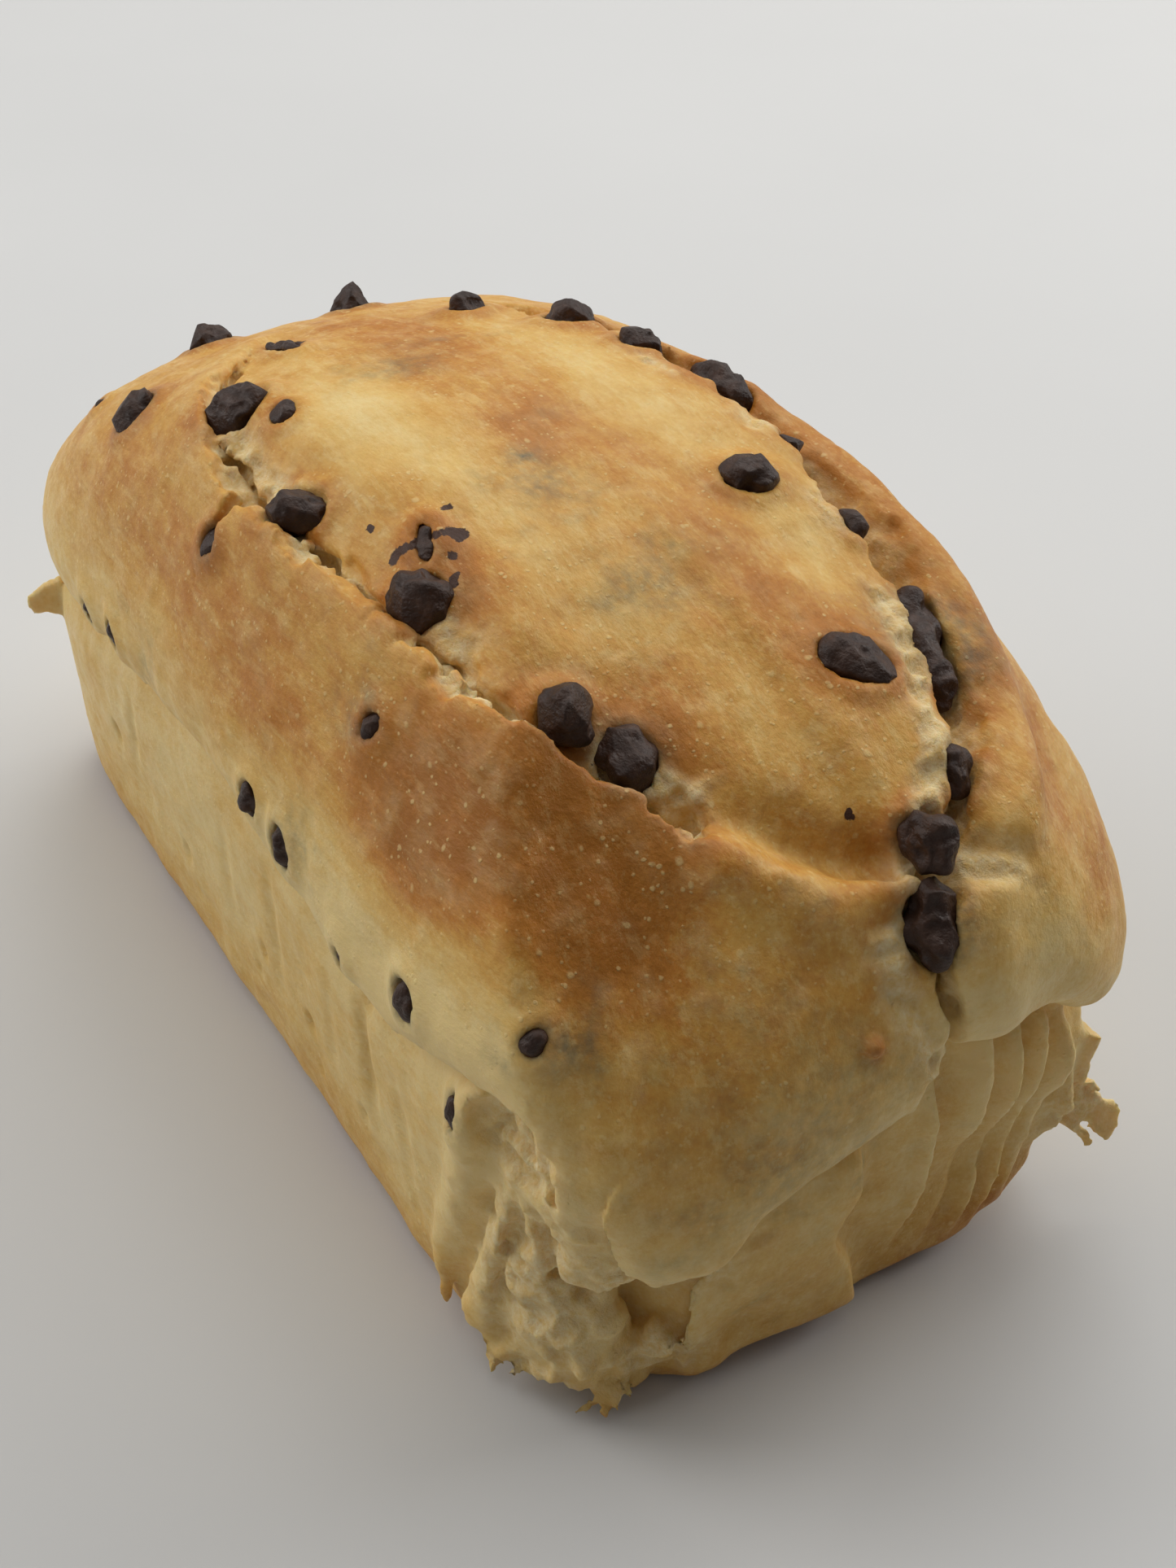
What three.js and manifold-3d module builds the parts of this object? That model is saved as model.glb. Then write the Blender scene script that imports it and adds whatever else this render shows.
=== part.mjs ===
// A chocolate-chip brioche baked in a rectangular loaf tin.
// Millimetres. +Z is up, +X runs along the loaf toward its pleated end,
// and -Y is the long side with the torn corner. The flat base rests on z = 0.
import * as THREE from 'three';
import { mergeVertices } from 'three/addons/utils/BufferGeometryUtils.js';
import Module from 'manifold-3d';

// ---------------------------------------------------------------- driving dimensions
const RIM_LENGTH = 216;        // bread at the height of the tin's rim, along X
const RIM_WIDTH = 112;         // the same, along Y
const LOAF_HEIGHT = 118;       // base to the crown
const WALL_TAPER = 4;          // how far each wall leans in toward the base
const BASE_ROUNDING = 4;       // how far the walls tuck under at the base
const OVERHANG_END = 5;        // how far the crown bulges past the end walls
const OVERHANG_SIDE = 2;       // how far it bulges past the side walls
const WALL_SQUARENESS = 9;     // exponent of the wall's rounded rectangle
const CROWN_SQUARENESS = 6;    // exponent at the widest level of the crown
const TOP_SQUARENESS = 2.5;    // exponent at the top of the crown
const LIP_DEPTH = 10;          // from the crown's lower edge up to its widest level
const CROWN_SHIFT_X = 3;       // the crown leans a little toward the pleated end
const CROWN_SHIFT_Y = 3;       // and a little toward +Y
const CHIP_GAP = 0.35;         // clearance between chocolate and bread

const MERGE_DISTANCE = 1e-3;   // corners closer than this are one corner

const POINTS_AROUND = 68;
const CROWN_LEVELS = 11;

// Height of the crown's lower edge around the loaf. Bearings are in degrees on the
// loaf drawn as a square: 0 is the pleated end, -90 the torn-corner side.
const LIP_LINE = [
  [-180, 55], [-135, 52], [-112, 59], [-95, 63], [-62, 57], [-50, 65], [-42, 48], [-35, 39],
  [-29, 38], [-22, 46], [-13, 49], [1, 53], [8, 62], [24, 63], [40, 52], [60, 57], [90, 61],
  [130, 55], [180, 55],
];

// ---------------------------------------------------------------- colours
const CRUST = { color: 0xc08a4a, roughness: 0.62, metalness: 0 };
const CHOCOLATE = { color: 0x37271f, roughness: 0.42, metalness: 0 };

// ---------------------------------------------------------------- solid helpers
const wasm = await Module();
wasm.setup();

function toSolid(geometry) {
  const bare = geometry.index ? geometry.toNonIndexed() : geometry.clone();
  bare.deleteAttribute('normal');
  bare.deleteAttribute('uv');
  const merged = mergeVertices(bare, MERGE_DISTANCE);
  return new wasm.Manifold(new wasm.Mesh({
    numProp: 3,
    vertProperties: new Float32Array(merged.attributes.position.array),
    triVerts: new Uint32Array(merged.index.array),
  }));
}

function toGeometry(solid) {
  const { vertProperties, triVerts } = solid.getMesh();
  const geometry = new THREE.BufferGeometry();
  geometry.setAttribute('position', new THREE.BufferAttribute(Float32Array.from(vertProperties), 3));
  geometry.setIndex(new THREE.BufferAttribute(Uint32Array.from(triVerts), 1));
  return geometry;
}

/** The main body of a cut solid, without the specks that cutting can leave beside it. */
function mainBody(solid) {
  let body = solid;
  for (let pass = 0; pass < 4; pass++) {
    const bodies = toSolid(toGeometry(body)).decompose();
    body = bodies.sort((a, b) => b.volume() - a.volume())[0];
  }
  return body;
}

function toMesh(solid, name, look) {
  const geometry = toGeometry(solid);
  geometry.computeVertexNormals();
  const mesh = new THREE.Mesh(geometry, new THREE.MeshStandardMaterial(look));
  mesh.name = name;
  return mesh;
}

/** Closed skin through rings of equal length, capped at both ends by a point. */
function loft(rings, firstCap, lastCap) {
  const count = rings[0].length;
  const points = [...rings.flat(), firstCap, lastCap];
  const first = points.length - 2;
  const last = points.length - 1;
  const faces = [];
  for (let j = 0; j < count; j++) {
    const k = (j + 1) % count;
    faces.push(first, k, j);
    for (let i = 0; i + 1 < rings.length; i++) {
      const a = i * count + j;
      const b = i * count + k;
      const c = a + count;
      const d = b + count;
      faces.push(a, b, d, a, d, c);
    }
    const top = (rings.length - 1) * count;
    faces.push(last, top + j, top + k);
  }
  const geometry = new THREE.BufferGeometry();
  geometry.setAttribute('position',
    new THREE.Float32BufferAttribute(points.flatMap((p) => [p.x, p.y, p.z]), 3));
  geometry.setIndex(faces);
  return geometry;
}

/** Smooth repeatable bumpiness in about -1..1, used to keep shapes from looking machined. */
function bumpiness(x, y, z, seed) {
  const a = Math.sin(x * 1.7 + y * 1.1 + z * 0.6 + seed);
  const b = Math.sin(x * -0.9 + y * 2.1 + z * 1.3 + seed * 2.3);
  const c = Math.sin(x * 0.7 + y * -1.3 + z * 2.2 + seed * 3.1);
  return (a + b + c) / 3;
}

// ---------------------------------------------------------------- the loaf's outer shape
const smooth = (t) => t * t * (3 - 2 * t);

function lipHeight(bearing) {
  const after = LIP_LINE.findIndex(([b]) => b >= bearing);
  const [b1, h1] = LIP_LINE[Math.max(after, 1)];
  const [b0, h0] = LIP_LINE[Math.max(after, 1) - 1];
  return h0 + (h1 - h0) * smooth((bearing - b0) / (b1 - b0));
}

function bearingOf(direction) {
  return THREE.MathUtils.radToDeg(Math.atan2(direction.y / RIM_WIDTH, direction.x / RIM_LENGTH));
}

/** Half sizes, squareness and centre of the level slice a given share up the wall (0 base, 1 lip). */
function wallSlice(share, tuck) {
  const lean = WALL_TAPER * (1 - share) + tuck;
  return { a: RIM_LENGTH / 2 - lean, b: RIM_WIDTH / 2 - lean, n: WALL_SQUARENESS, x: 0, y: 0 };
}

/** The same for the crown, climbing from its widest level (angle 0) to the top (angle 90 degrees). */
function crownSlice(angle) {
  const rise = Math.sin(angle);
  return {
    a: (RIM_LENGTH / 2 + OVERHANG_END) * Math.cos(angle) ** 1.15,
    b: (RIM_WIDTH / 2 + OVERHANG_SIDE) * Math.cos(angle) ** 0.55,
    n: CROWN_SQUARENESS + (TOP_SQUARENESS - CROWN_SQUARENESS) * rise,
    x: CROWN_SHIFT_X * rise,
    y: CROWN_SHIFT_Y * rise,
    rise,
  };
}

function edgePoint(slice, direction, z) {
  const size = ((Math.abs(direction.x) / slice.a) ** slice.n
    + (Math.abs(direction.y) / slice.b) ** slice.n) ** (-1 / slice.n);
  return new THREE.Vector3(slice.x + direction.x * size, slice.y + direction.y * size, z);
}

/** Directions from the centre that step evenly around the rim. */
function directionsAround() {
  const rim = new THREE.Shape();
  const slice = wallSlice(1, 0);
  const fine = 720;
  for (let i = 0; i < fine; i++) {
    const turn = (i / fine) * 2 * Math.PI;
    const p = edgePoint(slice, new THREE.Vector3(Math.cos(turn), Math.sin(turn), 0), 0);
    if (i === 0) rim.moveTo(p.x, p.y);
    else rim.lineTo(p.x, p.y);
  }
  rim.closePath();
  return rim.getSpacedPoints(POINTS_AROUND).slice(0, POINTS_AROUND)
    .map((p) => new THREE.Vector3(p.x, p.y, 0).normalize());
}

function loafRings() {
  const directions = directionsAround();
  const rings = [];
  const addWall = (share, tuck, lift) => rings.push(directions.map((d) => {
    const lip = lipHeight(bearingOf(d));
    return edgePoint(wallSlice(share, tuck), d, share * lip + lift);
  }));
  addWall(0, BASE_ROUNDING, 0);
  addWall(0, BASE_ROUNDING * 0.3, 1.2);
  addWall(0, 0, 4.5);
  addWall(0.35, 0, 0);
  addWall(0.7, 0, 0);
  addWall(1, 0, 0);
  rings.push(directions.map((d) => {
    const slice = crownSlice(0);
    const grip = { ...slice, a: slice.a - OVERHANG_END * 0.35, b: slice.b - OVERHANG_SIDE * 0.35 };
    return edgePoint(grip, d, lipHeight(bearingOf(d)) + 1.5);
  }));
  for (let i = 0; i < CROWN_LEVELS; i++) {
    const angle = (i / CROWN_LEVELS) * Math.PI / 2;
    const slice = crownSlice(angle);
    rings.push(directions.map((d) => {
      const widest = lipHeight(bearingOf(d)) + LIP_DEPTH;
      return edgePoint(slice, d, widest + (LOAF_HEIGHT - widest) * slice.rise);
    }));
  }
  return rings;
}

/** Baked dough is never quite even: the skin swells and dips a little everywhere but the base. */
function settle(point) {
  const swell = bumpiness(point.x / 16, point.y / 14, point.z / 15, 1.4) * 0.8;
  const out = new THREE.Vector3(point.x / RIM_LENGTH, point.y / RIM_WIDTH, (point.z - 55) / RIM_WIDTH);
  const hold = THREE.MathUtils.smoothstep(point.z, 2, 12);
  return point.clone().addScaledVector(out.normalize(), swell * hold);
}

const RINGS = loafRings().map((ring) => ring.map(settle));
const SHELL = new THREE.Mesh(
  loft(RINGS, new THREE.Vector3(0, 0, 0), new THREE.Vector3(CROWN_SHIFT_X, CROWN_SHIFT_Y, LOAF_HEIGHT)),
  new THREE.MeshBasicMaterial({ side: THREE.DoubleSide }),
);

/** Nearest crust point seen from the loaf's heart line through a rough position, and its outward way. */
function onCrust([x, y, z]) {
  const heart = new THREE.Vector3(THREE.MathUtils.clamp(x, -62, 62), 0, Math.min(z, 62));
  const way = new THREE.Vector3(x, y, z).sub(heart).normalize();
  const hit = new THREE.Raycaster(heart, way).intersectObject(SHELL)[0];
  return { point: hit.point, out: hit.face.normal.clone() };
}

// ---------------------------------------------------------------- splits, pleats and folds
/** A wedge-shaped cutter swept along the crust through a list of rough positions. */
function crustWedge(path, width, depth, tilt) {
  const spots = path.map(onCrust);
  const line = new THREE.CatmullRomCurve3(spots.map((s) => s.point));
  const ways = new THREE.CatmullRomCurve3(spots.map((s) => s.out));
  const steps = path.length * 3;
  const rings = [];
  for (let i = 0; i <= steps; i++) {
    const t = i / steps;
    const out = ways.getPoint(t).normalize();
    const along = line.getTangent(t);
    const side = new THREE.Vector3().crossVectors(along, out).normalize();
    const fade = 0.25 + 0.75 * Math.sin(Math.PI * t) ** 0.5;
    const at = (sideways, up) => line.getPoint(t)
      .addScaledVector(side, sideways * fade).addScaledVector(out, up * (up < 0 ? fade : 1));
    rings.push([
      at(tilt + width * 0.2, -depth), at(tilt - width * 0.2, -depth),
      at(-width * 0.8, 4), at(width * 0.8, 4),
    ]);
  }
  const middle = (ring) => ring.reduce((sum, p) => sum.add(p), new THREE.Vector3()).divideScalar(ring.length);
  return toSolid(loft(rings, middle(rings[0]), middle(rings[rings.length - 1])));
}

const LEFT_SEAM = [
  [-58, -24, 108], [-47, -33, 107], [-36, -38, 107], [-17, -42, 106], [13, -41, 107],
  [37, -39, 107], [60, -34, 105], [74, -27, 102], [87, -17, 96], [97, -5, 90], [100, 7, 88],
];
const RIGHT_SEAM = [
  [-52, 26, 112], [-30, 31, 114], [-7, 36, 115], [18, 39, 113], [37, 37, 111], [57, 34, 106],
  [75, 29, 102], [88, 22, 98], [96, 15, 94], [101, 9, 91], [105, 5, 88], [110, 4, 82], [112, 6, 70],
];
const SIDE_TEAR = [[-11, -38, 107], [-12, -44, 103], [-13, -48, 98], [-14, -51, 93]];

function seams() {
  return [
    crustWedge(LEFT_SEAM, 3.2, 6, 1.5),
    crustWedge(RIGHT_SEAM, 7, 8.5, -1),
    crustWedge(SIDE_TEAR, 2.6, 4, 0),
  ];
}

const PLEAT_RADIUS = 2.3;

/** A groove running up a wall, for the dough pleats squeezed against the tin. */
function pleat(y, bottom, top, bend) {
  const x = RIM_LENGTH / 2;
  const extrudePath = new THREE.CatmullRomCurve3([
    new THREE.Vector3(x - WALL_TAPER + 1, y - bend, bottom),
    new THREE.Vector3(x - WALL_TAPER / 2, y, (bottom + top) / 2),
    new THREE.Vector3(x, y - bend * 0.2, top),
  ]);
  const round = new THREE.Shape().absarc(0, 0, PLEAT_RADIUS, 0, 2 * Math.PI);
  return toSolid(new THREE.ExtrudeGeometry(round, { steps: 6, curveSegments: 6, extrudePath }));
}

function pleats() {
  return [
    pleat(3, 8, 40, -3), pleat(13, 10, 60, 2), pleat(20, 9, 60, 2.5),
    pleat(27, 9, 60, 3), pleat(34, 10, 56, 3.5), pleat(41, 12, 50, 3.5),
  ];
}

/** A soft lump of dough, squashed along each axis. */
function doughLump(at, size, turn, seed) {
  const ball = new THREE.IcosahedronGeometry(1, 2);
  const p = new THREE.Vector3();
  for (let i = 0; i < ball.attributes.position.count; i++) {
    p.fromBufferAttribute(ball.attributes.position, i);
    p.multiplyScalar(1 + 0.16 * bumpiness(p.x * 2, p.y * 2, p.z * 2, seed));
    ball.attributes.position.setXYZ(i, p.x, p.y, p.z);
  }
  ball.scale(...size);
  ball.rotateX(THREE.MathUtils.degToRad(turn));
  ball.translate(...at);
  return toSolid(ball);
}

/** The torn corner: a hollow under the crown with folded lobes of crumb below it. */
function cornerHollow() {
  return doughLump([97, -58, 52], [15, 7, 11], 0, 2.1);
}

function cornerLobes() {
  return [
    doughLump([97, -44, 20], [12, 11, 16], 14, 4.2),
    doughLump([84, -48, 30], [8, 9, 20], 20, 6.7),
    doughLump([104, -30, 26], [6, 17, 14], 8, 8.4),
  ];
}

/** A thin torn flap of crust: a flattened cone lying along a direction. */
function flap(at, way, length, width, thickness) {
  const cone = new THREE.ConeGeometry(1, 1, 7, 2);
  cone.translate(0, 0.5, 0);
  cone.scale(width / 2, length, thickness / 2);
  const turn = new THREE.Quaternion()
    .setFromUnitVectors(new THREE.Vector3(0, 1, 0), new THREE.Vector3(...way).normalize());
  cone.applyQuaternion(turn);
  cone.translate(...at);
  return toSolid(cone);
}

function flaps() {
  return [
    flap([92, -3, 92], [0.55, 0.85, -0.1], 17, 12, 4),
    flap([97, 43, 26], [0.8, 0.6, 0], 17, 18, 9),
    flap([96, 44, 38], [0.7, 0.7, 0.1], 14, 16, 8),
    flap([-97, -46, 50], [-0.5, -0.85, 0.1], 15, 18, 9),
    flap([76, -48, 8], [0.2, -0.95, -0.15], 9, 9, 5),
  ];
}

// ---------------------------------------------------------------- chocolate
/** Unit shapes for chocolate, wide in X and Y with the outward side up. */
const CHOCOLATE_SHAPES = {
  // a chip with its tip showing
  drop() {
    const outline = [[0, -0.9], [0.7, -0.75], [1, -0.3], [0.92, 0.2], [0.6, 0.6], [0.25, 0.9], [0, 1]];
    return new THREE.LatheGeometry(outline.map(([r, y]) => new THREE.Vector2(r, y)), 9)
      .rotateX(Math.PI / 2);
  },
  // a rounded chip seen from its flat side, or half melted
  lump() {
    return new THREE.IcosahedronGeometry(1, 1);
  },
};

const CHOCOLATE_PIECES = [
  // name, shape, rough position, width, length, thickness, turn in degrees, share standing proud
  ['chip_far_end_tip', 'drop', [-80, 9, 101], 7, 7, 9, 0, 0.5],
  ['chip_far_end_round', 'drop', [-88, -21, 99], 8, 8, 8, 0, 0.45],
  ['chip_far_shoulder', 'lump', [-62, -43, 98], 8, 9, 6, 20, 0.35],
  ['chip_far_speck', 'lump', [-86, -42, 88], 2.4, 2.4, 2, 0, 0.4],
  ['smear_far_top', 'lump', [-55, -17, 108], 11, 3, 1.8, 10, 0.3],
  ['chip_far_seam', 'lump', [-34, -35, 109], 10, 12, 7, 25, 0.4],
  ['chip_far_seam_small', 'lump', [-23, -31, 112], 6, 4.5, 3.5, 0, 0.4],
  ['chip_crest_far', 'drop', [-48, 17, 111], 7, 7, 7, 0, 0.5],
  ['chip_crest_middle', 'drop', [-31, 28, 113], 9, 9, 8, 30, 0.5],
  ['chip_crest_near', 'drop', [-14, 32, 114], 8, 8, 7, 0, 0.5],
  ['chip_in_tear', 'lump', [-12, -48, 98], 5, 6, 4.5, 0, 0.3],
  ['chip_tear_head', 'lump', [0, -40, 108], 11, 8, 6, 35, 0.35],
  ['chip_left_seam_round', 'lump', [32, -36, 110], 10, 9.5, 7, 0, 0.4],
  ['smear_left_seam', 'lump', [24, -30, 113], 9, 2.6, 1.8, -25, 0.3],
  ['chip_left_seam_big', 'lump', [62, -29, 106], 9.5, 9.5, 8, 0, 0.45],
  ['chip_left_seam_next', 'lump', [70, -24, 103], 10, 8.5, 6.5, 30, 0.4],
  ['chip_oval_round', 'drop', [33, 22, 114], 8.5, 8.5, 7, 0, 0.5],
  ['chip_oval_star', 'lump', [72, 14, 105], 11, 9, 5, 40, 0.4],
  ['chip_oval_heart', 'lump', [96, 8.5, 92], 8.5, 8.5, 6, 0, 0.5],
  ['melt_right_seam_far', 'lump', [1, 40, 112], 16, 7.5, 7, 10, 0.35],
  ['chip_right_seam_mid', 'lump', [24, 37, 113], 6, 4.5, 4.5, 0, 0.3],
  ['chip_right_seam_small', 'lump', [46, 33, 109], 7, 4, 4.5, -15, 0.25],
  ['melt_right_seam_long', 'lump', [70, 31, 102], 25, 9, 8, -19, 0.05],
  ['melt_right_seam_next', 'lump', [89, 19, 97], 9, 5.5, 6, -30, 0.05],
  ['melt_right_seam_end', 'lump', [106, 5.5, 86], 13, 7.5, 7, -30, 0.4],
  ['chip_side_edge_a', 'lump', [16, -57, 69], 4.5, 6, 4, 0, 0.35],
  ['chip_side_edge_b', 'lump', [28, -57, 68], 6.5, 7.5, 4.5, 10, 0.3],
  ['chip_side_edge_c', 'lump', [68, -56, 69], 6, 7, 4.5, 0, 0.35],
  ['chip_side_sliver', 'lump', [48, -57, 62], 2.6, 6, 2.6, 0, 0.3],
  ['chip_side_high', 'lump', [42, -48, 97], 3.2, 4, 3, 0, 0.3],
  ['chip_side_far_a', 'lump', [-44, -57, 65], 2.6, 6, 3, 20, 0.35],
  ['chip_side_far_b', 'lump', [-58, -57, 62], 3, 6, 3, 30, 0.35],
  ['chip_corner_dot', 'lump', [92, -50, 79], 3.6, 3.6, 3, 0, 0.35],
  ['chip_under_fold', 'lump', [79, -56, 54], 4, 7, 4, 25, 0.35],
  ['chip_end_flat', 'lump', [108, -4, 41], 7, 3, 3.5, 20, 0.35],
  ['chip_end_bottom', 'lump', [104, -25, 5], 3.4, 1.6, 2, 0, 0.35],
];

function chocolate([, shape, rough, width, length, thickness, turn, proud], index, grow) {
  const geometry = CHOCOLATE_SHAPES[shape]();
  const p = new THREE.Vector3();
  for (let i = 0; i < geometry.attributes.position.count; i++) {
    p.fromBufferAttribute(geometry.attributes.position, i);
    p.multiplyScalar(1 + 0.14 * bumpiness(p.x * 1.6, p.y * 1.6, p.z * 1.6, index));
    geometry.attributes.position.setXYZ(i, p.x, p.y, p.z);
  }
  const { point, out } = onCrust(rough);
  const clear = shape === 'drop' ? grow * 1.5 : grow;
  geometry.scale(width / 2 + clear, length / 2 + clear, thickness / 2 + clear);
  geometry.rotateZ(THREE.MathUtils.degToRad(turn));
  geometry.applyQuaternion(new THREE.Quaternion().setFromUnitVectors(new THREE.Vector3(0, 0, 1), out));
  const centre = point.addScaledVector(out, (proud - 0.5) * thickness);
  geometry.translate(centre.x, centre.y, centre.z);
  return toSolid(geometry);
}

// ---------------------------------------------------------------- assembly
function loafSolid() {
  let loaf = toSolid(SHELL.geometry);
  for (const cutter of [...seams(), ...pleats(), cornerHollow()]) loaf = loaf.subtract(cutter);
  for (const lump of [...cornerLobes(), ...flaps()]) loaf = loaf.add(lump);
  CHOCOLATE_PIECES.forEach((piece, i) => {
    loaf = loaf.subtract(chocolate(piece, i, CHIP_GAP));
  });
  return mainBody(loaf);
}

const brioche = new THREE.Group();
brioche.name = 'brioche';
brioche.add(toMesh(loafSolid(), 'loaf', CRUST));
CHOCOLATE_PIECES.forEach((piece, i) => {
  brioche.add(toMesh(chocolate(piece, i, 0), piece[0], CHOCOLATE));
});

// The part's origin is under the middle of its bounding box.
const middle = new THREE.Box3().setFromObject(brioche).getCenter(new THREE.Vector3());
for (const piece of brioche.children) piece.geometry.translate(-middle.x, -middle.y, 0);

export default brioche;
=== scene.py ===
"""A chocolate-chip brioche: the bread is sculpted as one distance field around the CAD loaf and meshed,
and each piece of chocolate is finished from its own CAD solid. Sizes in this script are millimetres
until a mesh is made. +X runs along the loaf to its pleated end and -Y is the side with the torn corner.
"""
import math

import bmesh
import bpy
import numpy as np
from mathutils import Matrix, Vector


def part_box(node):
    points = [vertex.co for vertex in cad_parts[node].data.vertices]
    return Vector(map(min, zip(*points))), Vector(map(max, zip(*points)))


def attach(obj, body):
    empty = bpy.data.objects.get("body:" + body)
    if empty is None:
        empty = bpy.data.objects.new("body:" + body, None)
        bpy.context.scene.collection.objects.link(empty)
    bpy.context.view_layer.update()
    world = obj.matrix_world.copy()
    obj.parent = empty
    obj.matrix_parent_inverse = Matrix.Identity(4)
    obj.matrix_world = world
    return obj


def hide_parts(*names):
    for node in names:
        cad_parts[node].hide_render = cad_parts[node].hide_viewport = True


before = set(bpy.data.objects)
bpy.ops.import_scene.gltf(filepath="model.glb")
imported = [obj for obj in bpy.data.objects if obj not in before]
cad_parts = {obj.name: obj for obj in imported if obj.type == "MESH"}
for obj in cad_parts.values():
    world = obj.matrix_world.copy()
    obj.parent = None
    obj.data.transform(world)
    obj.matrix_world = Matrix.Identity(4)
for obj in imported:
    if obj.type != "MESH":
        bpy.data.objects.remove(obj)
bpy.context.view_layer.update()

import openvdb as vdb
from mathutils import Matrix, Vector

MM = 0.001
CENTRE = np.array([0.0, -0.6, 0.0])    # middle of the part's box, in the loaf's own coordinates
VOXEL = 0.75
ROUGH_VOXEL = 1.5
GRID_LOW = np.array([-124.0, -70.0, -4.5])
GRID_HIGH = np.array([124.0, 70.0, 126.0])
ROOM_DIM = 0.03                        # brightness of the room on the camera's side, and behind
ROOM_BRIGHT = 0.40
BAND = 10.0                            # how far from the skin distances are kept

# The camera, in the loaf's own coordinates, with angles in degrees.
CAMERA_PLACE = np.array([245.6, -147.3, 266.1])
CAMERA_AZIMUTH = 56.2
CAMERA_ELEVATION = 38.3
CAMERA_ROLL = 3.1
FILM_WIDTH = 36.0
LENS = 44.8365

# The loaf's driving dimensions, as in the CAD part.
RIM = np.array([108.0, 56.0])          # half length and half width at the tin's rim
HEIGHT = 118.0
WALL_TAPER = 4.0
WALL_SQUARENESS = 9.0
OVERHANG = np.array([5.0, 2.0])
CROWN_SQUARENESS = 6.0
TOP_SQUARENESS = 2.5
CROWN_SHIFT = 3.0
LIP_DEPTH = 8.0
BASE_ROUNDING = np.array([4.0, 5.0])   # how far the base edge draws in, and how high that reaches
CROWN_CHIPS_ABOVE = 98.0               # chips that reach above this height lie whole on the crown
PLEAT_SPACING = 7.4
PLEAT_DEPTH = 3.8
HEART = 62.0                           # half length and height of the line that skin points are seen from
UNDERCUT = 4.2                         # how far the wall draws back just below the crown
LIP_LINE = [
    (-180, 55), (-135, 52), (-112, 59), (-95, 63), (-62, 57), (-50, 65), (-42, 48), (-35, 39),
    (-29, 38), (-22, 46), (-13, 49), (1, 53), (8, 62), (24, 63), (40, 52), (60, 57), (90, 61),
    (130, 55), (180, 55),
]
LEFT_SEAM = [
    (-58, -24, 108), (-47, -33, 107), (-36, -38, 107), (-17, -42, 106), (13, -41, 107),
    (37, -39, 107), (60, -34, 105), (74, -27, 102), (87, -17, 96), (97, -5, 90), (100, 7, 88),
]
RIGHT_SEAM = [
    (-52, 26, 112), (-30, 31, 114), (-7, 36, 115), (18, 39, 113), (37, 37, 111), (57, 34, 106),
    (75, 29, 102), (88, 22, 98), (96, 15, 94), (101, 9, 91), (105, 5, 88), (110, 4, 82), (112, 6, 70),
]
SIDE_TEAR = [(-11, -38, 107), (-12, -44, 103), (-13, -48, 98), (-14, -51, 93)]


# -------------------- numbers and noise
def smooth_step(value, low, high):
    t = np.clip((value - low) / (high - low), 0.0, 1.0)
    return t * t * (3.0 - 2.0 * t)


def bell(value, middle, width):
    return np.exp(-((value - middle) / width) ** 2)


def blended(table, corner, part):
    """Values between the eight table entries round each place, wrapping at the table's ends."""
    total = np.zeros(len(part), dtype=part.dtype)
    for step in np.ndindex(2, 2, 2):
        at = (corner + np.array(step)) % table.shape
        weight = np.where(np.array(step) == 1, part, 1.0 - part).prod(axis=1)
        total += weight * table[at[:, 0], at[:, 1], at[:, 2]]
    return total


def noise(points, cell, seed):
    """Smooth random values of about -1..1 that change over `cell` millimetres."""
    table = np.random.default_rng(seed).uniform(-1.0, 1.0, (32, 32, 32)).astype(np.float32)
    place = points / np.asarray(cell, dtype=np.float32) + 117.3
    corner = np.floor(place).astype(np.int32)
    part = (place - corner).astype(np.float32)
    return blended(table, corner, part * part * (3.0 - 2.0 * part)) * 1.4


def rough_noise(points, cell, seed):
    """Three noises added up, each half as large and half as strong as the one before."""
    total = np.zeros(len(points), dtype=np.float32)
    for octave in range(3):
        total += noise(points, np.asarray(cell) / 2.0 ** octave, seed + octave) / 2.0 ** octave
    return total


# -------------------- the loaf's plain shape
def lip_height(x, y):
    """Height of the crown's lower edge on the bearing of (x, y)."""
    bearing = np.degrees(np.arctan2(y / RIM[1], x / RIM[0]))
    angles, heights = np.array(LIP_LINE, dtype=float).T
    after = np.clip(np.searchsorted(angles, bearing), 1, len(angles) - 1)
    share = (bearing - angles[after - 1]) / (angles[after] - angles[after - 1])
    share = share * share * (3.0 - 2.0 * share)
    return heights[after - 1] + (heights[after] - heights[after - 1]) * share


def squircle(x, y, a, b, n):
    return (np.abs(x / a) ** n + np.abs(y / b) ** n) ** (1.0 / n)


def crown_section(x, y, rise, tuck=0.0):
    """Below zero inside the crown's outline at a share `rise` of its height."""
    turn = np.sqrt(1.0 - np.clip(rise, 0.0, 0.9999) ** 2)
    a = (RIM[0] + OVERHANG[0] * (1.0 - tuck)) * turn ** 1.15
    b = (RIM[1] + OVERHANG[1] * (1.0 - tuck)) * turn ** 0.55
    n = CROWN_SQUARENESS + (TOP_SQUARENESS - CROWN_SQUARENESS) * rise
    return squircle(x - CROWN_SHIFT * rise, y - CROWN_SHIFT * rise, a, b, n) - 1.0


def crown_height(x, y, widest):
    """Height of the crown's skin above (x, y), found by halving."""
    low = np.zeros(np.broadcast(x, y).shape)
    high = np.ones_like(low)
    for _ in range(24):
        middle = (low + high) / 2
        inside = crown_section(x, y, middle) < 0.0
        low = np.where(inside, middle, low)
        high = np.where(inside, high, middle)
    return widest + low * (HEIGHT - widest)


def heart_of(place):
    """The nearest place on the loaf's heart line, level and along X."""
    return np.array([np.clip(place[0], -HEART, HEART), 0.0, min(place[2], HEART)])


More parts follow.
